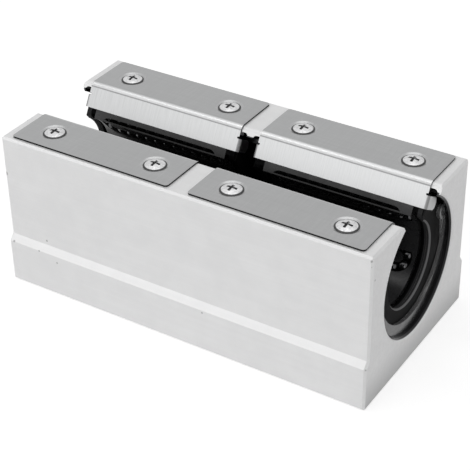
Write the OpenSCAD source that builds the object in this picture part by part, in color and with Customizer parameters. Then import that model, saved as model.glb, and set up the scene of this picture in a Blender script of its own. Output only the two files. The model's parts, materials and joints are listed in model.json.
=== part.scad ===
// Long open linear bearing block. It lies on its mounting face with the shaft slot upward.
// Two open ball bushings sit end to end in one bored block, and folded clips hold them.
// X runs along the shaft, Y across the block, Z up; the origin is the mounting face's centre.

/* [Block] */
// Length of the block along the shaft
block_len = 96; // [94:1:116]
// Width across the mounting flange
flange_w = 48; // [47:0.5:56]
// Width of the block above the flange
body_w = 45.4; // [44.5:0.1:46.4]
// Height of the shaft axis above the mounting face
axis_h = 23; // [21:0.5:27]
// Height of the block above the shaft axis
top_h = 16; // [15.6:0.1:19]
// Height of the flange's upright side
flange_h = 11.3; // [8:0.1:16]
// Rise of the bevel from the flange to the body
bevel_h = 1.5; // [0.8:0.1:4]
// Chamfer on the block's outer edges
edge_c = 0.5; // [0.2:0.1:0.8]
// Radius of the flange's lower corners
foot_r = 1; // [0.4:0.1:2]
// Width of the shallow relief along the mounting face
relief_w = 19; // [8:1:24]
// Depth of that relief
relief_d = 0.35; // [0.1:0.05:0.8]

/* [Shaft and slot] */
// Diameter of the shaft that runs in the block
shaft_d = 20; // [19.6:0.1:20.2]
// Full angle of the slot over the shaft
slot_angle = 60; // [58:1:64]
// Radius on the slot's upper edges
lip_r = 1.5; // [0.8:0.1:2]
// Chamfer at both mouths of the bore
bore_c = 0.7; // [0.3:0.1:0.9]

/* [Bushings] */
// Outside diameter of a bushing, which the block is bored to
bushing_d = 32; // [31.8:0.1:32.4]
// Length of a bushing
bushing_len = 43.3; // [41:0.1:43.4]
// Diameter of a ball
ball_d = 2.5; // [2.4:0.05:2.5]
// Spacing of the balls along their track
ball_pitch = 2.65; // [2.6:0.05:3.2]
// Room between a ball and its track
ball_gap = 0.05; // [0.02:0.01:0.08]
// Angle from the slot's centre to the first ball circuit
circuit_a = 50; // [49:0.5:53]
// Angle from one ball circuit to the next on the same side
circuit_step = 72; // [66:1:76]
// Distance between the two rows of one circuit
row_gap = 4.8; // [4.6:0.1:5.2]
// How far the returning balls lie outside the loaded ones
return_lift = 0.5; // [0.5:0.05:0.65]
// How far the cage stands back from the shaft
cage_gap = 0.2; // [0.15:0.05:0.3]
// Thickness of an end seal
seal_t = 2.8; // [2.4:0.1:3]
// Outside diameter of an end seal
seal_d = 29.4; // [27:0.2:29.6]
// Width of the seal lip that touches the shaft
lip_w = 0.5; // [0.3:0.1:0.8]
// How far a seal is cut away at its corners beside the slot
seal_corner = 1.3; // [0.8:0.1:1.6]

/* [Clips] */
// Thickness of the clips' sheet steel
sheet_t = 0.4; // [0.3:0.05:0.5]
// Distance from the body's side to a clip's outer edge
clip_inset = 1.1; // [0.6:0.1:2]
// Length of a clip's plate, between the tabs at its ends
clip_len = 42.9; // [42.2:0.1:43.4]
// Radius of a clip's outer corners
clip_corner_r = 0.8; // [0.4:0.1:3]
// Distance from the shaft axis to a clip's lower edge, along the slot wall
clip_foot = 12.6; // [12.5:0.1:13.2]
// Height of the tab at each end of a clip
tab_h = 3; // [2:0.1:3.1]
// Length of that tab, away from the slot
tab_len = 3.9; // [2.6:0.1:4]
// Radius of the bend into a tab
tab_bend_r = 0.5; // [0.3:0.05:0.6]
// Radius of a tab's outer corners
tab_corner_r = 1.2; // [0.6:0.1:1.4]
// Radius of the round relief over each tab
tab_relief_r = 0.25; // [0.2:0.05:0.5]
// Length of the notch in the slot's edge, past each clip's end
notch_len = 1.8; // [1:0.1:1.9]
// Rise of that notch into the slot's edge
notch_h = 1.4; // [1:0.1:1.5]
// Depth of that notch, away from the slot
notch_depth = 4.5; // [4.2:0.1:5]
// Rise of the slot's lower edge between the two clips
gap_rise = 0.6; // [0.2:0.1:0.8]

/* [Fasteners] */
// Thread diameter of the clip screws
screw_d = 3; // [2.6:0.1:3.2]
// Length of a clip screw under its head
screw_len = 6; // [5:0.5:8]
// Head diameter of the clip screws
head_d = 5.5; // [5:0.1:5.8]
// Height of the screw head's dome
dome_h = 0.7; // [0.4:0.1:1]
// Distance between the two screws of one clip
screw_pitch = 28; // [24:0.5:32]
// Distance of the clip screws from the block's middle plane
screw_y = 15.3; // [15:0.1:16]
// Diameter of the dished seat around a screw head
dish_d = 6.6; // [6.2:0.1:7.4]
// Depth from the clip's surface to the head's rim
dish_h = 0.25; // [0.15:0.05:0.5]
// Thread diameter of the four mounting holes
mount_d = 6; // [5:0.5:6]
// Depth of the mounting holes
mount_depth = 12; // [8:0.5:14]
// Distance between the mounting holes along the block
mount_x = 70; // [50:1:76]
// Distance between the mounting holes across the block
mount_y = 35; // [34.5:0.5:36]
// Thickness of the retaining ring at each end of the bore
ring_t = 0.9; // [0.7:0.1:1]
// Depth of the ring's groove in the bore
groove_h = 0.8; // [0.5:0.1:1]
// Width of the ring inside the bore, opposite the slot
ring_w = 3; // [2:0.1:3.2]
// Width of the ring inside the bore, at its sides
ring_side_w = 0.9; // [0.8:0.1:1.6]

/* [Hidden] */

aluminium = [0.84, 0.85, 0.86];
sheet_steel = [0.68, 0.69, 0.70];
bright_steel = [0.80, 0.80, 0.82];
ring_steel = [0.45, 0.45, 0.47];
black_plastic = [0.07, 0.07, 0.08];
black_rubber = [0.04, 0.04, 0.05];

round_fn = 96;
hole_fn = 48;
over = 1;                // how far a cut runs past the surface that it opens
seat_gap = 0.02;         // room between pieces that slide together when assembled
slot_gap = 0.1;          // how far the bushings' slot faces stand behind the slot walls
end_gap = 0.05;          // room at each end of a bushing

half_a = slot_angle / 2;
block_h = axis_h + top_h;
bore_r = bushing_d / 2;
shaft_r = shaft_d / 2;
bushing_x = block_len / 4;                       // centre of the right bushing and its clips
bushing_end = bushing_len / 2;                   // measured from that centre
tab_x = bushing_end + end_gap + sheet_t;         // outer face of a clip's tab, from that centre
clip_out_y = body_w / 2 - clip_inset;
bevel_w = (flange_w - body_w) / 2;               // width of the bevel over the flange

// The slot's upper edge and the centre of its rounding, as [y, z]
lip_edge = [tan(half_a) * top_h, block_h];
lip_tangent = lip_r / tan((90 + half_a) / 2);
lip_centre = [lip_edge[0] + lip_tangent, block_h - lip_r];
lip_s = top_h / cos(half_a) - lip_tangent;   // where the slot wall turns round

sleeve_r = bore_r - seat_gap;
seal_r = seal_d / 2;
ball_r = ball_d / 2;
track_r = ball_r + ball_gap;
load_r = shaft_r + ball_r + ball_gap;            // radius of the loaded rows' centres
return_r = load_r + return_lift;
cage_in_r = shaft_r + cage_gap;
race_r = load_r + track_r;                       // inside of the sleeve, where the loaded rows run
recess_r = return_r + track_r + seat_gap;        // reliefs in the sleeve for the returning balls
cage_out_r = race_r - ball_gap;
cage_half = bushing_end - seal_t - 2 * end_gap;
cage_end_wall = 0.55;

// One circuit lies in a plane that is tilted, because its two rows differ in radius
load_n = sqrt(pow(load_r, 2) - pow(row_gap / 2, 2));
return_n = sqrt(pow(return_r, 2) - pow(row_gap / 2, 2));
circuit_tilt = atan2(load_n - return_n, row_gap);
turn_r = sqrt(pow(row_gap, 2) + pow(load_n - return_n, 2)) / 2;
plane_r = (load_n + return_n) / 2 * cos(circuit_tilt);   // nearest the circuit's plane comes to the axis
floor_r = return_r - track_r;                    // floor of the cage's channels
slit_w = 2 * sqrt(pow(track_r, 2) - pow(plane_r - floor_r, 2));   // slit through that floor
row_half = cage_half - cage_end_wall - track_r - turn_r;
row_l = 2 * row_half;
turn_l = PI * turn_r;
ball_count = floor(2 * (row_l + turn_l) / ball_pitch);
ball_step = 2 * (row_l + turn_l) / ball_count;

// Screw seats: the cone under the head carries on into the dished sheet
head_r = head_d / 2;
screw_hole_r = screw_d / 2 + 0.15;
cone_h = head_r - screw_hole_r;
seat_depth = dish_h + cone_h;                    // depth of a whole screw seat
screw_core_r = 0.4 * screw_d;
tap_r = screw_core_r + seat_gap;
tap_depth = dish_h + screw_len + 0.9 * screw_d;  // below the clip's surface
clip_top = block_h + sheet_t;

// Retaining ring: an eccentric opening leaves it widest opposite the slot
groove_r = bore_r + groove_h;
ring_r = groove_r - end_gap;
ring_bottom_r = bore_r - ring_w;
ring_side_r = bore_r - ring_side_w;
ring_shift = (pow(ring_side_r, 2) - pow(ring_bottom_r, 2)) / (2 * ring_bottom_r);
ring_hole_r = ring_bottom_r + ring_shift;
ring_x = bushing_x + bushing_end + end_gap;      // inner face of the right ring
eye_r = 0.8;                                     // radius of the plier eye
ear_r = 1.5;                                     // radius of the ear around it
ear_a = [62.5, 65.5];                            // angles of the eye's two ends
ear_n = bore_r - eye_r - 0.1;                    // distance of the eye from the axis

// ---- helpers ----

// Extrudes a [y, z] outline along X, centred on the origin
module along_x(l) {
    rotate([90, 0, 90]) linear_extrude(height = l, center = true) children();
}

// A cylinder along X, from x0 to x1 on the shaft axis
module rod(x0, x1, r, r_end = undef) {
    translate([x0, 0, axis_h]) rotate([0, 90, 0])
        cylinder(r1 = r, r2 = is_undef(r_end) ? r : r_end, h = x1 - x0, $fn = round_fn);
}

// The frame of the far slot wall: Z runs up the wall from the axis, Y points into the metal
module on_slot_wall() {
    translate([0, 0, axis_h]) rotate([-half_a, 0, 0]) children();
}

// Copies a piece to both sides of the block's middle plane
module both_sides() {
    children();
    mirror([0, 1, 0]) children();
}

// Copies a piece to both ends of the block
module both_ends() {
    children();
    mirror([1, 0, 0]) children();
}

// The V of the slot in section, with its walls set back by gap
module slot_section(gap) {
    apex_z = axis_h - gap / sin(half_a);
    top_z = axis_h + max(top_h, groove_r) + over;
    top_y = (top_z - apex_z) * tan(half_a);
    polygon([[0, apex_z], [top_y, top_z], [-top_y, top_z]]);
}

// What a round takes off a square corner at the origin, whose sides run along -X and +Y
module corner_waste(r) {
    difference() {
        translate([-r, -over]) square([r + over, r + over]);
        translate([-r, r]) circle(r = r, $fn = hole_fn);
    }
}

// What the round takes off the slot's far upper edge
module lip_waste() {
    wall_y = lip_edge[0] - lip_tangent * sin(half_a);
    wall_z = lip_edge[1] - lip_tangent * cos(half_a);
    difference() {
        polygon([[lip_centre[0], block_h], lip_edge + [-over, over], [wall_y, wall_z], lip_centre]);
        translate(lip_centre) circle(r = lip_r, $fn = hole_fn);
    }
}

// Places a piece at both screws of the right far clip
module at_clip_screws() {
    for (side = [-1, 1])
        translate([bushing_x + side * screw_pitch / 2, screw_y, clip_top]) children();
}

// The solid under a dished seat's surface, down to the screw hole; drop lowers it by the sheet
module dish(drop) {
    translate([0, 0, -drop]) rotate_extrude($fn = hole_fn) polygon([
        [0, over + drop], [dish_d / 2, over + drop], [dish_d / 2, 0], [head_r, -dish_h],
        [screw_hole_r, -seat_depth], [0, -seat_depth]
    ]);
}

// ---- block ----

// The body in section, from the mounting face to the top
module body_section() {
    polygon([
        [-body_w / 2, 0], [body_w / 2, 0], [body_w / 2, block_h - edge_c],
        [body_w / 2 - edge_c, block_h], [edge_c - body_w / 2, block_h],
        [-body_w / 2, block_h - edge_c]
    ]);
}

// The flange in section; its bevels run on into the body
module flange_section() {
    tip_y = flange_w / 2 - 2 * bevel_w;
    tip_z = flange_h + 2 * bevel_h;
    difference() {
        polygon([
            [-flange_w / 2, 0], [flange_w / 2, 0], [flange_w / 2, flange_h],
            [tip_y, tip_z], [-tip_y, tip_z], [-flange_w / 2, flange_h]
        ]);
        for (side = [0, 1]) mirror([side, 0]) translate([flange_w / 2, 0]) corner_waste(foot_r);
    }
}

// Breaks the right end face's edge that passes through [y, z], at an angle from upright
module end_bar(y, z, angle) {
    side = edge_c * sqrt(2);
    translate([block_len / 2, y, z]) rotate([angle, 0, 0]) rotate([0, 0, 45])
        cube([side, side, 4 * block_h], center = true);
}

// The solid block with its broken edges, before the bore, slot and holes
module block_blank() {
    difference() {
        union() {
            difference() {
                along_x(block_len) body_section();
                both_ends() both_sides() end_bar(body_w / 2, 0, 0);
            }
            difference() {
                along_x(block_len) flange_section();
                both_ends() both_sides() {
                    end_bar(flange_w / 2, 0, 0);
                    end_bar(flange_w / 2, flange_h, atan2(bevel_w, bevel_h));
                }
            }
        }
        both_ends() for (z = [0, block_h]) end_bar(0, z, 90);
    }
}

// Everything that is cut right through the block from end to end
module through_section() {
    translate([0, axis_h]) circle(r = bore_r, $fn = round_fn);
    slot_section(0);
    for (side = [0, 1]) mirror([side, 0]) lip_waste();
    translate([-relief_w / 2, -over]) square([relief_w, relief_d + over]);
}

// Notch in the far slot edge at a clip's end, which lies at x = 0 and goes on toward -X
module lip_notch() {
    r = notch_h * 0.6;
    inner_x = -1.5;
    on_slot_wall() {
        for (x = [inner_x, notch_len - r])
            translate([x, notch_depth, bore_r + notch_h - r]) rotate([90, 0, 0])
                cylinder(r = r, h = notch_depth + over, $fn = hole_fn);
        translate([inner_x, -over, bore_r - over])
            cube([notch_len - r - inner_x, notch_depth + over, notch_h + over]);
        translate([inner_x - r, -over, bore_r - over])
            cube([notch_len - inner_x + r, notch_depth + over, notch_h - r + over]);
    }
}

// What raises the far slot edge between the notches of the two clips
module gap_relief() {
    reach = bushing_x - clip_len / 2;
    on_slot_wall() translate([-reach, -over, bore_r - over])
        cube([2 * reach, notch_depth + over, gap_rise + over]);
}

// Tapped mounting hole, opening downward at the origin
module mount_hole() {
    r = 0.415 * mount_d;
    translate([0, 0, -over]) cylinder(r = r, h = mount_depth + over, $fn = hole_fn);
    translate([0, 0, mount_depth]) cylinder(r1 = r, r2 = 0, h = r * 0.6, $fn = hole_fn);
    translate([0, 0, -0.01]) cylinder(r1 = mount_d / 2 + 0.2, r2 = r, h = 0.7, $fn = hole_fn);
}

module bearing_block() {
    color(aluminium) difference() {
        block_blank();
        along_x(block_len + 2 * over) through_section();
        both_sides() gap_relief();
        both_ends() {
            rod(block_len / 2 - bore_c, block_len / 2 + 0.01, bore_r, bore_r + bore_c + 0.01);
            rod(ring_x - end_gap, ring_x + ring_t + end_gap, groove_r);
            both_sides() {
                translate([bushing_x + clip_len / 2, 0, 0]) lip_notch();
                translate([bushing_x - clip_len / 2, 0, 0]) mirror([1, 0, 0]) lip_notch();
                at_clip_screws() {
                    dish(sheet_t);
                    translate([0, 0, -tap_depth]) cylinder(r = tap_r, h = tap_depth, $fn = hole_fn);
                }
                translate([mount_x / 2, mount_y / 2, 0]) mount_hole();
            }
        }
    }
}

// ---- bushings, each modelled on the right side ----

// The racetrack band that one circuit's balls cover, w wide
module track_band(w) {
    difference() {
        racetrack(turn_r + w / 2);
        racetrack(turn_r - w / 2);
    }
}

module racetrack(r) {
    for (x = [-row_half, row_half]) translate([x, 0]) circle(r = r, $fn = hole_fn);
    translate([-row_half, -r]) square([row_l, 2 * r]);
}

// The part of that band where the balls come through to the shaft: loaded row and both turns
module slit_band() {
    reach = row_half + turn_r + slit_w;
    turn_end = -turn_r + 0.45 * track_r;
    intersection() {
        track_band(slit_w);
        union() {
            translate([-reach, 0]) square([2 * reach, reach]);
            for (side = [0, 1]) mirror([side, 0])
                translate([row_half, turn_end]) square([reach, reach]);
        }
    }
}

// The frame of a circuit on the far side: X along the shaft, Y from return row to loaded row
module on_circuit(angle) {
    translate([bushing_x, 0, axis_h]) rotate([-angle, 0, 0])
        translate([0, 0, (load_n + return_n) / 2]) rotate([circuit_tilt, 0, 0]) children();
}

// Repeats a cut at each of a bushing's four circuits
module at_circuits() {
    both_sides() for (a = [circuit_a, circuit_a + circuit_step]) on_circuit(a) children();
}

// Extrudes a circuit's outline through the whole wall of the cage
module through_cage() {
    translate([0, 0, -bushing_d / 4]) linear_extrude(height = bushing_d / 2) children();
}

// Where ball number i stands on the loop, as [x, y]
function loop_point(d) =
    d < row_l ? [d - row_half, turn_r]
    : d < row_l + turn_l ? [row_half, 0] + turn_r * turn_dir(90 - (d - row_l) / turn_r * 180 / PI)
    : d < 2 * row_l + turn_l ? [row_half - (d - row_l - turn_l), -turn_r]
    : [-row_half, 0] + turn_r * turn_dir(270 - (d - 2 * row_l - turn_l) / turn_r * 180 / PI);
function turn_dir(a) = [cos(a), sin(a)];

module balls(angle) {
    color(bright_steel) on_circuit(angle) for (i = [0 : ball_count - 1])
        translate(concat(loop_point((i + 0.5) * ball_step), [0])) sphere(r = ball_r, $fn = 24);
}

// What steps a bushing's slot faces back at its ends, where the clips bend round them
module end_steps() {
    for (side = [-1, 1]) translate([bushing_x + side * bushing_end, 0, 0])
        along_x(2 * tab_bend_r) slot_section(slot_gap + tab_bend_r);
}

module sleeve() {
    x0 = bushing_x - bushing_end;
    x1 = bushing_x + bushing_end;
    pocket = seal_t + end_gap;
    bevel = 0.5;
    color(ring_steel) difference() {
        intersection() {
            rod(x0, x1, sleeve_r);
            rod(x0, x1 + over, sleeve_r - bevel, sleeve_r - bevel + bushing_len + over);
            rod(x0 - over, x1, sleeve_r - bevel + bushing_len + over, sleeve_r - bevel);
        }
        rod(x0 - over, x1 + over, race_r);
        rod(x0 - over, x0 + pocket, seal_r);
        rod(x1 - pocket, x1 + over, seal_r);
        rod(x0, bushing_x - row_half + ball_r, recess_r);
        rod(bushing_x + row_half - ball_r, x1, recess_r);
        translate([bushing_x, 0, 0]) along_x(bushing_len + 2 * over) slot_section(slot_gap);
        end_steps();
        at_circuits() translate([-row_half, -turn_r, 0]) rotate([0, 90, 0])
            cylinder(r = track_r, h = row_l, $fn = hole_fn);
    }
}

module ball_cage() {
    color(black_plastic) difference() {
        rod(bushing_x - cage_half, bushing_x + cage_half, cage_out_r);
        rod(bushing_x - cage_half - over, bushing_x + cage_half + over, cage_in_r);
        translate([bushing_x, 0, 0]) along_x(bushing_len) slot_section(slot_gap);
        at_circuits() through_cage() slit_band();
        difference() {
            at_circuits() through_cage() track_band(2 * track_r);
            rod(0, 2 * bushing_x, floor_r);
        }
    }
}

// What is cut from an end seal's far corner beside the slot, in section
module seal_corner_waste() {
    rotate(-half_a) polygon([
        [-over, shaft_r + seal_corner], [slot_gap, shaft_r + seal_corner],
        [0.3 * seal_corner, shaft_r + 0.45 * seal_corner], [1.2 * seal_corner, shaft_r - 0.2],
        [1.2 * seal_corner, shaft_r - over], [-over, shaft_r - over]
    ]);
}

// End seal for the bushing's right end: a stiff ring whose front lip wipes the shaft
module seal_ring() {
    break_c = 0.35;                           // break of the lip's front edge
    back_d = 0.9;                             // depth of the rebate next to the cage
    wipe_r = shaft_r + 0.3;                   // inside of the ring behind the lip
    lip_x = seal_t - break_c;
    x0 = bushing_x + bushing_end - end_gap - seal_t;
    color(black_rubber) difference() {
        translate([x0, 0, axis_h]) rotate([0, 90, 0]) rotate_extrude($fn = round_fn) polygon([
            [load_r, 0], [seal_r - seat_gap, 0], [seal_r - seat_gap, seal_t],
            [shaft_r + break_c, seal_t], [shaft_r, lip_x], [shaft_r, lip_x - lip_w],
            [wipe_r, lip_x - lip_w - 0.2], [wipe_r, back_d], [load_r, back_d]
        ]);
        translate([bushing_x + bushing_end, 0, 0]) along_x(4 * seal_t) {
            slot_section(slot_gap);
            translate([0, axis_h]) for (side = [0, 1]) mirror([side, 0]) seal_corner_waste();
        }
        end_steps();
    }
}

// ---- retaining ring in the right end of the bore ----

// A slot with round ends along the ring, as far from the axis as the ear
module ear_shape(r, h) {
    chord = 2 * ear_n * sin((ear_a[1] - ear_a[0]) / 2);
    for (a = ear_a) rotate([0, 0, -a]) translate([0, ear_n, 0]) cylinder(r = r, h = h, $fn = hole_fn);
    rotate([0, 0, -(ear_a[0] + ear_a[1]) / 2])
        translate([-chord / 2, ear_n * cos((ear_a[1] - ear_a[0]) / 2) - r, 0]) cube([chord, 2 * r, h]);
}

// The ring lies flat here: its axis is Z and its gap points along +Y
module retaining_ring_flat() {
    gap_a = (ear_a[0] + ear_a[1]) / 2;
    reach = 2 * ring_r;
    difference() {
        union() {
            difference() {
                cylinder(r = ring_r, h = ring_t, $fn = round_fn);
                translate([0, ring_shift, -over])
                    cylinder(r = ring_hole_r, h = ring_t + 2 * over, $fn = round_fn);
                translate([0, 0, -over]) linear_extrude(height = ring_t + 2 * over) polygon([
                    [0, 0], [reach * sin(gap_a), reach * cos(gap_a)], [0, 2 * reach],
                    [-reach * sin(gap_a), reach * cos(gap_a)]
                ]);
            }
            for (side = [0, 1]) mirror([side, 0, 0]) ear_shape(ear_r, ring_t);
        }
        for (side = [0, 1]) mirror([side, 0, 0])
            translate([0, 0, -over]) ear_shape(eye_r, ring_t + 2 * over);
    }
}

module retaining_ring() {
    color(ring_steel) translate([ring_x, 0, axis_h]) rotate([90, 0, 90]) retaining_ring_flat();
}

// ---- clips, modelled on the right far side ----

module clip_section() {
    foot_y = clip_foot * sin(half_a);
    foot_z = axis_h + clip_foot * cos(half_a);
    wall_y = lip_s * sin(half_a);
    wall_z = axis_h + lip_s * cos(half_a);
    out = sheet_t * [-cos(half_a), sin(half_a)];
    translate([lip_centre[0], block_h]) square([clip_out_y - lip_centre[0], sheet_t]);
    polygon([[foot_y, foot_z], [wall_y, wall_z], [wall_y, wall_z] + out, [foot_y, foot_z] + out]);
    intersection() {
        difference() {
            translate(lip_centre) circle(r = lip_r + sheet_t, $fn = hole_fn);
            translate(lip_centre) circle(r = lip_r, $fn = hole_fn);
        }
        polygon([
            lip_centre, lip_centre + [0, 2 * lip_r + sheet_t],
            lip_centre + (2 * lip_r + sheet_t) * [-1, 1],
            lip_centre + (2 * lip_r + sheet_t) * [-cos(half_a), sin(half_a)]
        ]);
    }
}

// The tab and its bend at a clip's right end; the tab's outer face lies at x = 0
module clip_tab() {
    bend_out = tab_bend_r + sheet_t;
    on_slot_wall() translate([0, 0, clip_foot]) {
        intersection() {
            translate([-bend_out, tab_bend_r, 0]) difference() {
                cylinder(r = bend_out, h = tab_h, $fn = hole_fn);
                translate([0, 0, -over]) cylinder(r = tab_bend_r, h = tab_h + 2 * over, $fn = hole_fn);
            }
            translate([-bend_out, -sheet_t, 0]) cube([bend_out, bend_out, tab_h]);
        }
        translate([-sheet_t, tab_bend_r, 0]) rotate([90, 0, 90]) linear_extrude(height = sheet_t)
            difference() {
                square([tab_len - tab_bend_r, tab_h]);
                translate([tab_len - tab_bend_r, 0]) corner_waste(tab_corner_r);
                translate([tab_len - tab_bend_r, tab_h]) mirror([0, 1]) corner_waste(tab_corner_r);
            }
    }
}

// What is cut from a clip's plate at its right end, to leave room for the tab's bend
module clip_end_waste() {
    bend_out = tab_bend_r + sheet_t;
    relief_s = clip_foot + tab_h + tab_relief_r;
    on_slot_wall() {
        translate([-bend_out, -sheet_t - over, clip_foot - over])
            cube([bend_out + over, sheet_t + 2 * over, relief_s - clip_foot + over]);
        translate([-bend_out, over, relief_s]) rotate([90, 0, 0])
            cylinder(r = tab_relief_r, h = sheet_t + 2 * over, $fn = hole_fn);
        translate([-bend_out, -sheet_t - over, relief_s - tab_relief_r])
            cube([bend_out + over, sheet_t + 2 * over, 2 * tab_relief_r]);
    }
}

module clip() {
    color(sheet_steel) {
        difference() {
            union() {
                translate([bushing_x, 0, 0]) along_x(clip_len) clip_section();
                at_clip_screws() translate([0, 0, -sheet_t]) intersection() {
                    dish(0);
                    translate([0, 0, -seat_depth]) cylinder(r = dish_d, h = seat_depth, $fn = hole_fn);
                }
            }
            at_clip_screws() {
                dish(0);
                translate([0, 0, -2 * seat_depth])
                    cylinder(r = screw_hole_r, h = 2 * seat_depth, $fn = hole_fn);
            }
            for (side = [0, 1]) translate([bushing_x, 0, 0]) mirror([side, 0, 0]) {
                translate([tab_x, 0, 0]) clip_end_waste();
                translate([clip_len / 2, clip_out_y, block_h - over])
                    linear_extrude(height = sheet_t + 2 * over)
                        mirror([0, 1]) corner_waste(clip_corner_r);
            }
        }
        for (side = [0, 1]) translate([bushing_x, 0, 0]) mirror([side, 0, 0])
            translate([tab_x, 0, 0]) clip_tab();
    }
}

// ---- clip screws, head rim level with the origin ----

module cross_recess() {
    depth = 1.1;
    wing = 0.55 * head_d;
    translate([0, 0, dome_h - depth]) intersection() {
        cylinder(r1 = wing * 0.2, r2 = wing / 2, h = depth, $fn = hole_fn);
        for (a = [0, 90]) rotate([0, 0, a])
            translate([-wing / 2, -0.12 * head_d / 2, 0]) cube([wing, 0.12 * head_d, depth + over]);
    }
}

module clip_screw() {
    dome_r = (pow(head_r, 2) + pow(dome_h, 2)) / (2 * dome_h);
    difference() {
        union() {
            intersection() {
                translate([0, 0, dome_h - dome_r]) sphere(r = dome_r, $fn = round_fn);
                cylinder(r = head_r, h = dome_h, $fn = hole_fn);
            }
            translate([0, 0, -cone_h]) cylinder(r1 = screw_hole_r, r2 = head_r, h = cone_h, $fn = hole_fn);
            translate([0, 0, -screw_len]) cylinder(r = screw_core_r, h = screw_len, $fn = hole_fn);
        }
        cross_recess();
    }
}

module clip_screws() {
    color(bright_steel) both_ends() both_sides()
        at_clip_screws() translate([0, 0, -dish_h]) clip_screw();
}

// ---- the assembly ----

module left() mirror([1, 0, 0]) children();
module near() mirror([0, 1, 0]) children();
// Turns a bushing's right end seal round to its left end
module other_end() translate([2 * bushing_x, 0, 0]) mirror([1, 0, 0]) children();

bearing_block();
left() sleeve();  // sleeve_left
sleeve();  // sleeve_right
left() ball_cage();  // ball_cage_left
ball_cage();  // ball_cage_right
left() seal_ring();  // seal_left_outer
left() other_end() seal_ring();  // seal_left_inner
other_end() seal_ring();  // seal_right_inner
seal_ring();  // seal_right_outer
left() balls(circuit_a);  // balls_left_far_upper
left() balls(circuit_a + circuit_step);  // balls_left_far_lower
left() near() balls(circuit_a);  // balls_left_near_upper
left() near() balls(circuit_a + circuit_step);  // balls_left_near_lower
balls(circuit_a);  // balls_right_far_upper
balls(circuit_a + circuit_step);  // balls_right_far_lower
near() balls(circuit_a);  // balls_right_near_upper
near() balls(circuit_a + circuit_step);  // balls_right_near_lower
left() retaining_ring();  // retaining_ring_left
retaining_ring();  // retaining_ring_right
left() near() clip();  // clip_left_near
left() clip();  // clip_left_far
near() clip();  // clip_right_near
clip();  // clip_right_far
clip_screws();
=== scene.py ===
"""Looks of the open linear bearing block: materials, tapped threads, studio and camera.

Lengths are in metres and share the frame's origin: x along the shaft, z up from the mounting face.
"""

import json
import math

import bmesh
import bpy
from mathutils import Matrix, Vector


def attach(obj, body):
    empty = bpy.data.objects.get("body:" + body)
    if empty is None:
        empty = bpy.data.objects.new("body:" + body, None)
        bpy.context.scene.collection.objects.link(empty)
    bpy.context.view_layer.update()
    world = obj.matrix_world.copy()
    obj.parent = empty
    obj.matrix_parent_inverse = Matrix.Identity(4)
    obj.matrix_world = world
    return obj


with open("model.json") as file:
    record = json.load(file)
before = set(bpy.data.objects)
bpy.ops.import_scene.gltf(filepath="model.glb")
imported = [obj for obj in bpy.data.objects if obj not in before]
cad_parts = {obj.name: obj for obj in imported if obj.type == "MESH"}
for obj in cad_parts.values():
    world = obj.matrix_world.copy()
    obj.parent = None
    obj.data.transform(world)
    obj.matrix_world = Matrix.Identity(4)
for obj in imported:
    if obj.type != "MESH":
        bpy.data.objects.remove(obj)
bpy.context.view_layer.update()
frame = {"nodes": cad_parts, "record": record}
nodes = frame["nodes"]

X, Y, Z = 0, 1, 2


def mm(*numbers):
    return tuple(n / 1000 for n in numbers)


# ---- camera, at the photograph's angle ----

PICTURE_PX = 470
FOCAL_PX = 1431.411
SENSOR_MM = 36
AZIMUTH, ELEVATION, ROLL = 32.888, 33.67, -1.146
LOOK_AT = (0, 0, 0.0195)
# from LOOK_AT: to the camera's right, up, and away from the part
SHIFT_RIGHT, SHIFT_UP, DISTANCE = 0.000675, -0.003504, 0.332459


def make_camera():
    az, el, roll = (math.radians(a) for a in (AZIMUTH, ELEVATION, ROLL))
    back = Vector((math.sin(az) * math.cos(el), -math.cos(az) * math.cos(el), math.sin(el)))
    right = (-back).cross(Vector((0, 0, 1))).normalized()
    up = right.cross(-back)
    right, up = (math.cos(roll) * right + math.sin(roll) * up,
                 math.cos(roll) * up - math.sin(roll) * right)
    place = Vector(LOOK_AT) + SHIFT_RIGHT * right + SHIFT_UP * up + DISTANCE * back
    data = bpy.data.cameras.new("camera")
    data.sensor_width = SENSOR_MM
    data.lens = FOCAL_PX / PICTURE_PX * SENSOR_MM
    data.clip_start = 0.01
    data.clip_end = 20
    camera = bpy.data.objects.new("camera", data)
    turn = Matrix((right, up, back)).transposed().to_4x4()
    camera.matrix_world = Matrix.Translation(place) @ turn
    bpy.context.scene.collection.objects.link(camera)
    bpy.context.scene.camera = camera


# ---- material helpers ----

AXIS_HEIGHT = 0.023         # the shaft's axis over the mounting face
SLOT_LEAN = math.radians(30)
SLOT_COS, SLOT_SIN = math.cos(SLOT_LEAN), math.sin(SLOT_LEAN)

# a pair is where a mask starts to change and where it has changed, or the two ends of a stretch
BORE_RADIUS = 0.0168, 0.0169
BORE_END = 0.0476, 0.0478
NOTCH_DEPTH = 0.00012, 0.0047       # square to the slot's wall
NOTCH_ALONG = 0.0158, 0.01745       # up the slot's wall, from the shaft's axis
MIDDLE_NOTCH = 0.0041, 0.0042
END_NOTCH = 0.0439, 0.0473
END_NOTCH_SHADE = 0.85


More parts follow.
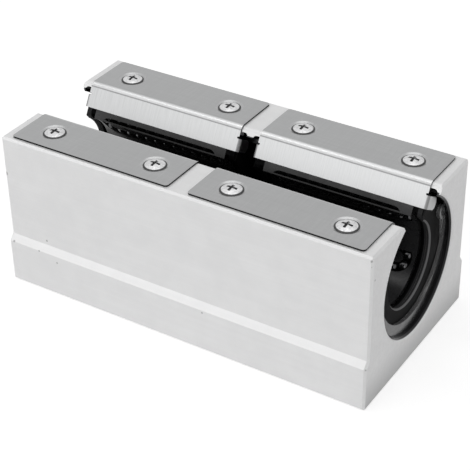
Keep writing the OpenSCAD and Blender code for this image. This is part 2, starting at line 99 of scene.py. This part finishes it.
class Graph:
    """Builds one node material; its methods add nodes and return an output socket."""

    def __init__(self, name):
        self.material = bpy.data.materials.new(name)
        self.material.use_nodes = True
        self.tree = self.material.node_tree
        self.tree.nodes.clear()
        self.shader = self.add("ShaderNodeBsdfPrincipled")
        out = self.add("ShaderNodeOutputMaterial")
        self.tree.links.new(self.shader.outputs[0], out.inputs[0])
        self.place = self.add("ShaderNodeTexCoord").outputs["Object"]
        self.normal = self.add("ShaderNodeNewGeometry").outputs["Normal"]

    def add(self, kind):
        return self.tree.nodes.new(kind)

    def feed(self, socket, value):
        """Link a socket, or set a number or an RGB colour."""
        if isinstance(value, bpy.types.NodeSocket):
            self.tree.links.new(value, socket)
        elif socket.type == "RGBA":
            socket.default_value = (*value, 1)
        else:
            socket.default_value = value

    # numbers

    def math(self, kind, a, b=0.0):
        node = self.add("ShaderNodeMath")
        node.operation = kind
        self.feed(node.inputs[0], a)
        self.feed(node.inputs[1], b)
        return node.outputs[0]

    def plus(self, a, b):
        return self.math("ADD", a, b)

    def minus(self, a, b):
        return self.math("SUBTRACT", a, b)

    def times(self, a, b):
        return self.math("MULTIPLY", a, b)

    def either(self, a, b):
        """Where one mask or the other is 1."""
        return self.math("MAXIMUM", a, b)

    def remap(self, value, low, high, out_low, out_high):
        node = self.add("ShaderNodeMapRange")
        node.interpolation_type = "SMOOTHSTEP"
        for socket, number in zip(node.inputs[:5], (value, low, high, out_low, out_high)):
            self.feed(socket, number)
        return node.outputs[0]

    def rise(self, value, low, high):
        """0 up to low, 1 from high on."""
        return self.remap(value, low, high, 0.0, 1.0)

    def fall(self, value, low, high):
        """1 up to low, 0 from high on."""
        return self.remap(value, low, high, 1.0, 0.0)

    def within(self, value, low, high, soft):
        """1 between low and high, with soft edges."""
        return self.times(self.rise(value, low - soft, low), self.fall(value, high, high + soft))

    def blend(self, factor, a, b):
        """A mix of plain numbers."""
        node = self.add("ShaderNodeMix")
        for index, value in zip((0, 2, 3), (factor, a, b)):
            self.feed(node.inputs[index], value)
        return node.outputs[0]

    # colours

    def mix(self, factor, a, b):
        node = self.add("ShaderNodeMix")
        node.data_type = "RGBA"
        for index, value in zip((0, 6, 7), (factor, a, b)):
            self.feed(node.inputs[index], value)
        return node.outputs[2]

    def paint(self, color, tone, mask, strength=None):
        """The tone laid over the colour where the mask is 1."""
        return self.mix(mask if strength is None else self.times(mask, strength), color, tone)

    # textures

    def noise(self, scale, detail=2, stretch=(1, 1, 1), roughness=0.5):
        """Noise with that many cells to a metre, drawn out where the stretch is below 1."""
        scaled = self.add("ShaderNodeVectorMath")
        scaled.operation = "MULTIPLY"
        self.feed(scaled.inputs[0], self.place)
        scaled.inputs[1].default_value = stretch
        node = self.add("ShaderNodeTexNoise")
        node.inputs["Scale"].default_value = scale
        node.inputs["Detail"].default_value = detail
        node.inputs["Roughness"].default_value = roughness
        self.feed(node.inputs["Vector"], scaled.outputs[0])
        return node.outputs[0]

    def bump(self, height, distance, strength):
        node = self.add("ShaderNodeBump")
        node.inputs["Strength"].default_value = strength
        node.inputs["Distance"].default_value = distance
        self.feed(node.inputs["Height"], height)
        return node.outputs[0]

    # places on the part

    def component(self, vector, axis):
        node = self.add("ShaderNodeSeparateXYZ")
        self.feed(node.inputs[0], vector)
        return node.outputs[axis]

    def facing(self, axis):
        """1 on surfaces square to the axis, 0 on those along it."""
        return self.math("ABSOLUTE", self.component(self.normal, axis))

    def height(self):
        return self.component(self.place, Z)

    def offset(self, axis):
        """Distance from the part's middle along x or y, the same to both sides."""
        return self.math("ABSOLUTE", self.component(self.place, axis))

    def from_shaft(self):
        """Distance from the shaft's axis."""
        y = self.component(self.place, Y)
        z = self.minus(self.height(), AXIS_HEIGHT)
        return self.math("SQRT", self.plus(self.times(y, y), self.times(z, z)))

    def shaded_bore(self):
        """1 on the bore's wall, in the ring grooves and on half the bevel at its mouth, where
        shade is painted.
        """
        return self.times(self.fall(self.from_shaft(), *BORE_RADIUS),
                          self.fall(self.offset(X), *BORE_END))

    def notches(self):
        """1 inside the notches at the clips' ends, which lie behind the slanted slot walls; shade
        is painted there.
        """
        across = self.offset(Y)
        up = self.minus(self.height(), AXIS_HEIGHT)
        depth = self.minus(self.times(across, SLOT_COS), self.times(up, SLOT_SIN))
        along = self.plus(self.times(across, SLOT_SIN), self.times(up, SLOT_COS))
        painted_inside_light = self.times(self.within(depth, *NOTCH_DEPTH, soft=0.00006),
                            self.within(along, *NOTCH_ALONG, soft=0.00004))
        far_x = self.offset(X)
        end_notch = self.within(far_x, *END_NOTCH, soft=0.0001)
        return self.times(painted_inside_light, self.either(self.fall(far_x, *MIDDLE_NOTCH),
                                              self.times(end_notch, END_NOTCH_SHADE)))

    def spots(self, places):
        """1 round each (centre, radius) out to half its radius, falling to 0 at the radius."""
        total = 0.0
        for centre, radius in places:
            node = self.add("ShaderNodeVectorMath")
            node.operation = "DISTANCE"
            self.feed(node.inputs[0], self.place)
            node.inputs[1].default_value = centre
            total = self.either(self.fall(node.outputs["Value"], radius * 0.5, radius), total)
        return total

    def finish(self, **sockets):
        names = {"color": "Base Color", "metallic": "Metallic", "roughness": "Roughness",
                 "normal": "Normal", "specular": "Specular IOR Level"}
        for key, value in sockets.items():
            self.feed(self.shader.inputs[names[key]], value)
        return self.material


# ---- materials ----

# small dents and dirt on the block: place and radius
DENTS = [
    (mm(47.7, -22.7, 38.1), 0.0004),
    (mm(47.8, -22.7, 36.7), 0.0003),
    (mm(48.0, -21.5, 33.0), 0.0003),
    (mm(48.0, -23.8, 11.2), 0.0004),
    (mm(7.1, -24.0, 10.7), 0.0003),
    (mm(-37.3, -22.7, 13.9), 0.00035),
    (mm(-38.9, -24.0, 11.2), 0.0003),
    (mm(-33.7, -24.0, 9.6), 0.0003),
    (mm(-46.5, -24.0, 11.4), 0.0004),
    (mm(-47.6, -22.7, 29.3), 0.0007),
    (mm(-47.6, -13.5, 39.0), 0.0004),
]


def aluminium():
    """Satin extrusion with sawn ends and dents; painted shade makes the ends darker towards the
    bottom and darkens the bore's wall and the notches.
    """
    end_facing = 0.8, 0.95
    low_shade_height = -0.002, 0.010
    satin = (0.825, 0.825, 0.828), (0.86, 0.86, 0.862)
    line_tone = (0.75, 0.75, 0.753)
    blotch_tone = (0.6, 0.6, 0.603)
    # tone of the painted shade low on the ends
    low_shade_tone = (0.5, 0.5, 0.503)
    dent_tone = (0.2, 0.2, 0.2)
    # tone of the painted shade on the bore's wall and in the notches
    recess_shade_tone = (0.02, 0.02, 0.021)

    g = Graph("satin_aluminium")
    on_end = g.rise(g.facing(X), *end_facing)
    mottle = g.noise(160, detail=4, roughness=0.6)
    die_lines = g.noise(900, stretch=(0.015, 1, 1), roughness=0.6)
    saw_lines = g.noise(1100, stretch=(1, 1, 0.05), roughness=0.6)
    blotch = g.rise(g.noise(900, detail=3, roughness=0.7), 0.35, 0.65)
    grain = g.noise(4200)
    lines = g.plus(g.times(die_lines, g.minus(1.0, on_end)), g.times(saw_lines, on_end))
    # painted shade: the ends darker towards the bottom
    painted_low_shade = g.times(on_end, g.fall(g.height(), *low_shade_height))
    dents = g.spots(DENTS)
    # painted shade on the bore's wall and in the notches, also less rough and less metallic there
    painted_recess_shade = g.either(g.shaded_bore(), g.notches())

    color = g.mix(g.rise(mottle, 0.3, 0.7), *satin)
    color = g.paint(color, line_tone, g.rise(lines, 0.35, 0.65), 0.15)
    color = g.paint(color, blotch_tone, g.times(blotch, on_end), 0.14)
    color = g.paint(color, low_shade_tone, painted_low_shade)
    color = g.paint(color, dent_tone, dents, 0.6)
    color = g.paint(color, recess_shade_tone, painted_recess_shade)
    relief = g.plus(g.times(lines, 0.5), g.times(grain, 0.35))
    relief = g.minus(relief, g.times(dents, 4.0))
    return g.finish(color=color, metallic=g.blend(painted_recess_shade, 0.25, 0.9),
                    roughness=g.blend(painted_recess_shade, g.remap(mottle, 0.2, 0.8, 0.4, 0.46), 0.25),
                    normal=g.bump(relief, 0.00004, 0.3))


def clip_sheet():
    """Brushed sheet with painted shade on its cut edges, a painted highlight on the bend along the
    slot, and painted shade just below that bend and on the tab bends.
    """
    top_facing = 0.9, 0.98
    cut_x, cut_x_facing = (0.0024, 0.0456), (0.8, 0.9)
    cut_height, cut_z_facing = (0.0389, 0.03895), (0.2, 0.4)
    slot_side = 0.0112, 0.0116
    bend_facing, crease_facing, tab_facing = (0.7, 0.94), (0.53, 0.62), (0.25, 0.8)
    inner_tab, outer_tab = (0.0028, 0.0029), (0.0451, 0.0452)
    brushed = (0.355, 0.358, 0.36), (0.437, 0.44, 0.443)
    cloud_tone = (0.36, 0.363, 0.366)
    # tone of the painted highlight on the bend along the slot
    bend_highlight_tone = (0.55, 0.552, 0.555)
    # tone of the painted shade just below the bend and on the tab bends
    crease_shade_tone = (0.17, 0.17, 0.172)
    # tone of the painted shade on the cut edges
    cut_edge_shade_tone = (0.015, 0.015, 0.0155)

    g = Graph("brushed_sheet")
    on_top = g.rise(g.facing(Z), *top_facing)
    along = g.noise(2600, detail=3, stretch=(0.03, 1, 1), roughness=0.65)
    across = g.noise(3600, detail=3, stretch=(1, 0.04, 0.04), roughness=0.6)
    cloud = g.noise(220, detail=3)
    grain = g.noise(5200)
    brush = g.plus(g.times(g.times(along, 0.35), on_top),
                   g.times(across, g.minus(1.0, g.times(on_top, 0.6))))

    far_x = g.offset(X)
    # painted shade on the sheet's cut edges
    shaded_cut_ends = g.times(g.rise(g.facing(X), *cut_x_facing), g.within(far_x, *cut_x, soft=0.00005))
    shaded_cut_sides = g.times(g.fall(g.facing(Z), *cut_z_facing), g.rise(g.height(), *cut_height))
    near_slot = g.fall(g.offset(Y), *slot_side)
    slope = g.facing(Z)
    # painted highlight on the bend along the slot
    painted_bend_highlight = g.times(g.within(slope, *bend_facing, soft=0.05), near_slot)
    # painted shade just below the bend along the slot
    painted_crease_shade = g.times(g.within(slope, *crease_facing, soft=0.02), near_slot)
    at_tab = g.either(g.fall(far_x, *inner_tab), g.rise(far_x, *outer_tab))
    # painted shade on the tabs' bends
    painted_tab_bend_shade = g.times(g.within(g.facing(X), *tab_facing, soft=0.1), at_tab)

    color = g.mix(g.rise(brush, 0.25, 0.75), *brushed)
    color = g.paint(color, cloud_tone, cloud, 0.2)
    color = g.paint(color, bend_highlight_tone, painted_bend_highlight)
    color = g.paint(color, crease_shade_tone, g.either(painted_crease_shade, painted_tab_bend_shade), 0.8)
    color = g.paint(color, cut_edge_shade_tone, g.either(shaded_cut_ends, shaded_cut_sides))
    relief = g.plus(brush, g.times(grain, 0.4))
    return g.finish(color=color, metallic=0.95, roughness=g.remap(brush, 0.2, 0.8, 0.28, 0.38),
                    normal=g.bump(relief, 0.00003, 0.22))


SCREW_X, SCREW_Y = mm(10, 38), 0.0153
DOME_TOP, DOME_CURVE = 0.03985, 0.0115      # a head's height is DOME_TOP - radius^2 / DOME_CURVE
CROSS_DEPTH = 0.00006, 0.00016
CROSS_RADIUS = 0.0018, 0.0019
GAP_RADIUS = 0.00228, 0.00238


def screw_metal():
    """Dull plate with painted shade in the cross recess and on the head's rim, where it meets the
    dish.
    """
    plate = (0.74, 0.74, 0.745), (0.55, 0.55, 0.555)
    # tone of the painted shade in the cross recess
    cross_shade_tone = (0.24, 0.24, 0.243)
    # tone of the painted shade in the gap round the head
    gap_shade_tone = (0.02, 0.02, 0.0205)

    g = Graph("bright_plate")
    cloud = g.noise(1700, detail=3, roughness=0.65)
    grain = g.noise(6500)
    far_x = g.offset(X)
    off_x = g.math("MINIMUM", *(g.math("ABSOLUTE", g.minus(far_x, x)) for x in SCREW_X))
    off_y = g.minus(g.offset(Y), SCREW_Y)
    square = g.plus(g.times(off_x, off_x), g.times(off_y, off_y))
    radius = g.math("SQRT", square)
    dome = g.minus(DOME_TOP, g.math("DIVIDE", square, DOME_CURVE))
    below = g.rise(g.minus(dome, g.height()), *CROSS_DEPTH)
    # painted shade in the cross recess
    cross = g.times(below, g.fall(radius, *CROSS_RADIUS))
    # painted shade on the head's rim, in the gap round the head
    painted_gap_shade = g.rise(radius, *GAP_RADIUS)

    color = g.mix(g.rise(cloud, 0.35, 0.7), *plate)
    color = g.paint(color, cross_shade_tone, cross)
    color = g.paint(color, gap_shade_tone, painted_gap_shade, 0.95)
    return g.finish(color=color, metallic=0.7, roughness=g.remap(cloud, 0.2, 0.8, 0.34, 0.46),
                    normal=g.bump(grain, 0.00003, 0.3))


def sleeve_steel():
    """Dark ground steel with faint rings round the shaft."""
    ground = (0.02, 0.02, 0.021), (0.04, 0.04, 0.041)
    cloud_tone = (0.015, 0.015, 0.0155)

    g = Graph("ground_steel")
    rings = g.noise(2400, detail=3, stretch=(1, 0.1, 0.1), roughness=0.6)
    cloud = g.noise(300, detail=3)
    color = g.mix(g.rise(rings, 0.3, 0.7), *ground)
    color = g.paint(color, cloud_tone, cloud, 0.4)
    return g.finish(color=color, metallic=0.9, roughness=g.remap(cloud, 0.2, 0.8, 0.22, 0.34),
                    normal=g.bump(rings, 0.00002, 0.3))


def ring_steel():
    """Oiled spring steel, with a painted highlight on its punched edges."""
    edge_facing = 0.3, 0.5
    oiled = (0.06, 0.06, 0.0615), (0.1, 0.1, 0.102)
    # tone of the painted highlight on the punched edges
    edge_highlight_tone = (0.55, 0.55, 0.555)

    g = Graph("oiled_spring_steel")
    turned = g.noise(1500, detail=3, roughness=0.6)
    cloud = g.noise(400, detail=3)
    color = g.mix(g.rise(turned, 0.3, 0.7), *oiled)
    # painted highlight on the punched edges
    color = g.paint(color, edge_highlight_tone, g.fall(g.facing(X), *edge_facing))
    return g.finish(color=color, metallic=0.85, roughness=g.remap(cloud, 0.2, 0.8, 0.16, 0.26),
                    normal=g.bump(turned, 0.00003, 0.35))


def ball_steel():
    g = Graph("oiled_and_shaded_ball_steel")
    cloud = g.noise(1500)
    # dark oiled steel, darkened further as painted shade for the dark inside of the cage
    color = g.mix(g.rise(cloud, 0.3, 0.7), (0.05, 0.05, 0.052), (0.10, 0.10, 0.103))
    return g.finish(color=color, metallic=0.9, roughness=g.remap(cloud, 0.3, 0.7, 0.05, 0.09))


def cage_plastic():
    """Black plastic with painted light toward the part's ends."""
    lit_end_x = 0.036, 0.041
    black = (0.004, 0.004, 0.0043), (0.008, 0.008, 0.0085)
    # tone of the painted light toward the ends
    end_light_tone = (0.028, 0.028, 0.029)

    g = Graph("moulded_black")
    cloud = g.noise(500, detail=3)
    grain = g.noise(3800)
    color = g.mix(g.rise(cloud, 0.3, 0.7), *black)
    # painted light toward the part's ends
    color = g.paint(color, end_light_tone, g.rise(g.offset(X), *lit_end_x))
    return g.finish(color=color, roughness=g.remap(cloud, 0.2, 0.8, 0.22, 0.36),
                    normal=g.bump(grain, 0.00002, 0.25), specular=0.3)


def seal_rubber():
    """Matt black; the two outer seals have painted light on their inside and a painted highlight
    along their inner edge.
    """
    outer_x = 0.044, 0.0441
    inside_facing, edge_facing = (0.2, 0.4), (0.5, 0.85)
    black = (0.003, 0.003, 0.0032), (0.007, 0.007, 0.0073)
    # tone of the painted light inside the outer seals
    inside_light_tone = (0.04, 0.04, 0.041)
    # tone of the painted highlight along the inner edge
    edge_highlight_tone = (0.2, 0.2, 0.203)

    g = Graph("black_rubber")
    cloud = g.noise(700, detail=3)
    grain = g.noise(5200)
    outer_seal = g.rise(g.offset(X), *outer_x)
    # painted light on the outer seals' inside
    painted_inside_light = g.times(g.fall(g.facing(X), *inside_facing), outer_seal)
    # painted highlight along the outer seals' inner edge
    painted_edge_highlight = g.times(g.within(g.facing(X), *edge_facing, soft=0.08), outer_seal)
    color = g.mix(g.rise(cloud, 0.3, 0.7), *black)
    color = g.paint(color, inside_light_tone, painted_inside_light)
    color = g.paint(color, edge_highlight_tone, painted_edge_highlight)
    return g.finish(color=color, roughness=g.remap(cloud, 0.2, 0.8, 0.28, 0.42),
                    normal=g.bump(grain, 0.00002, 0.3), specular=0.01)


# ---- the tapped threads in the mounting holes ----

HOLE_X, HOLE_Y = 35, 17.5
THREAD_RADIUS = 0.00249
THREAD_PITCH = 0.001
THREAD_LOW, THREAD_HIGH = 0.0012, 0.0115
THREAD_HEIGHT = THREAD_PITCH * 0.54 * 0.45
THREAD_SINK = 0.00005       # how far the ridge's foot lies in the wall
STEPS_PER_TURN = 32
FADE_STEPS = 20             # the ridge runs out over these at both ends


def thread(name, centre):
    """A helical ridge up a hole's wall."""
    steps = int((THREAD_HIGH - THREAD_LOW) / THREAD_PITCH * STEPS_PER_TURN)
    mesh = bmesh.new()
    rows = []
    for i in range(steps + 1):
        a = 2 * math.pi * i / STEPS_PER_TURN
        z = THREAD_LOW + THREAD_PITCH * i / STEPS_PER_TURN
        fade = min(1.0, i / FADE_STEPS, (steps - i) / FADE_STEPS)
        profile = [(THREAD_RADIUS + THREAD_SINK, z - THREAD_PITCH / 2),
                   (THREAD_RADIUS - THREAD_HEIGHT * fade, z),
                   (THREAD_RADIUS + THREAD_SINK, z + THREAD_PITCH / 2)]
        rows.append([mesh.verts.new((centre[0] + r * math.cos(a), centre[1] + r * math.sin(a), h))
                     for r, h in profile])
    for low, high in zip(rows, rows[1:]):
        for k in range(2):
            mesh.faces.new((low[k], low[k + 1], high[k + 1], high[k]))
    bmesh.ops.recalc_face_normals(mesh, faces=mesh.faces)
    data = bpy.data.meshes.new(name)
    mesh.to_mesh(data)
    mesh.free()
    piece = bpy.data.objects.new(name, data)
    bpy.context.scene.collection.objects.link(piece)
    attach(piece, "root")
    return piece


# ---- studio ----

WHITE = (1, 1, 1, 1)
WORLD_LIGHT = 0.41
FLOOR_TONE = 0.7
FLOOR_LIFT = 0.6            # glow of the floor where it is seen, so that only its shadow shows
FLOOR_DROP = 0.0001         # under the mounting face
BODY, CLIPS = (0, 0, 0.02), (0, 0, 0.035)

# name, place, aim, width, height, watts
LAMPS = [
    ("key", (-0.45, -0.75, 0.55), BODY, 0.7, 0.5, 0.88),
    ("top", (0.0, 0.1, 0.9), BODY, 0.6, 0.6, 1.1),
    ("front", (0.0, -1.0, 0.3), BODY, 1.3, 0.8, 2.6),
    ("fold", (-0.45, -0.13, 0.88), CLIPS, 0.25, 0.25, 0.42),
    ("left", (-0.9, -0.4, 0.35), BODY, 0.5, 0.5, 0.52),
]


def area_light(name, place, aim, width, height, watts):
    data = bpy.data.lights.new(name, "AREA")
    data.shape = "RECTANGLE"
    data.size = width
    data.size_y = height
    data.energy = watts
    light = bpy.data.objects.new(name, data)
    light.location = place
    light.rotation_euler = (Vector(aim) - Vector(place)).to_track_quat("-Z", "Y").to_euler()
    bpy.context.scene.collection.objects.link(light)


def seen_rays(tree):
    """1 for rays that show the background, directly or in metal and gloss."""
    path = tree.nodes.new("ShaderNodeLightPath")
    total = path.outputs["Is Camera Ray"]
    for kind in ("Is Glossy Ray", "Is Transmission Ray"):
        node = tree.nodes.new("ShaderNodeMath")
        node.operation = "MAXIMUM"
        tree.links.new(total, node.inputs[0])
        tree.links.new(path.outputs[kind], node.inputs[1])
        total = node.outputs[0]
    return total


def make_floor():
    mesh = bmesh.new()
    bmesh.ops.create_grid(mesh, x_segments=1, y_segments=1, size=3)
    data = bpy.data.meshes.new("floor")
    mesh.to_mesh(data)
    mesh.free()
    floor = bpy.data.objects.new("floor", data)
    floor.location.z = -FLOOR_DROP
    bpy.context.scene.collection.objects.link(floor)
    material = bpy.data.materials.new("white_floor")
    material.use_nodes = True
    tree = material.node_tree
    tree.nodes.clear()
    out = tree.nodes.new("ShaderNodeOutputMaterial")
    matte = tree.nodes.new("ShaderNodeBsdfDiffuse")
    matte.inputs[0].default_value = (FLOOR_TONE, FLOOR_TONE, FLOOR_TONE, 1)
    glow = tree.nodes.new("ShaderNodeEmission")
    glow.inputs[0].default_value = WHITE
    both = tree.nodes.new("ShaderNodeAddShader")
    lift = tree.nodes.new("ShaderNodeMath")
    lift.operation = "MULTIPLY"
    lift.inputs[1].default_value = FLOOR_LIFT
    tree.links.new(seen_rays(tree), lift.inputs[0])
    tree.links.new(lift.outputs[0], glow.inputs[1])
    tree.links.new(matte.outputs[0], both.inputs[0])
    tree.links.new(glow.outputs[0], both.inputs[1])
    tree.links.new(both.outputs[0], out.inputs[0])
    data.materials.append(material)


def make_world():
    """White where it is seen, dimmer where it lights the part."""
    world = bpy.data.worlds.new("studio")
    bpy.context.scene.world = world
    world.use_nodes = True
    tree = world.node_tree
    tree.nodes.clear()
    out = tree.nodes.new("ShaderNodeOutputWorld")
    mix = tree.nodes.new("ShaderNodeMixShader")
    tree.links.new(seen_rays(tree), mix.inputs[0])
    for socket, strength in ((mix.inputs[1], WORLD_LIGHT), (mix.inputs[2], 1.0)):
        background = tree.nodes.new("ShaderNodeBackground")
        background.inputs[0].default_value = WHITE
        background.inputs[1].default_value = strength
        tree.links.new(background.outputs[0], socket)
    tree.links.new(mix.outputs[0], out.inputs[0])


make_camera()
make_world()
make_floor()
for lamp in LAMPS:
    area_light(*lamp)
bpy.context.scene.view_settings.view_transform = "Standard"

# ---- dress the frame ----

slots = {s["node"]: s["material_slot"] for s in frame["record"]["subparts"]}
finishes = {
    "block": aluminium(), "clip": clip_sheet(), "screws": screw_metal(), "sleeve": sleeve_steel(),
    "ring": ring_steel(), "balls": ball_steel(), "cage": cage_plastic(), "seal": seal_rubber(),
}
for name, node in nodes.items():
    node.data.materials.clear()
    node.data.materials.append(finishes[slots[name]])

for side_x, left_right in ((-1, "left"), (1, "right")):
    for side_y, near_far in ((-1, "near"), (1, "far")):
        piece = thread(f"mount_thread_{left_right}_{near_far}",
                       mm(HOLE_X * side_x, HOLE_Y * side_y))
        piece.data.materials.append(finishes["block"])
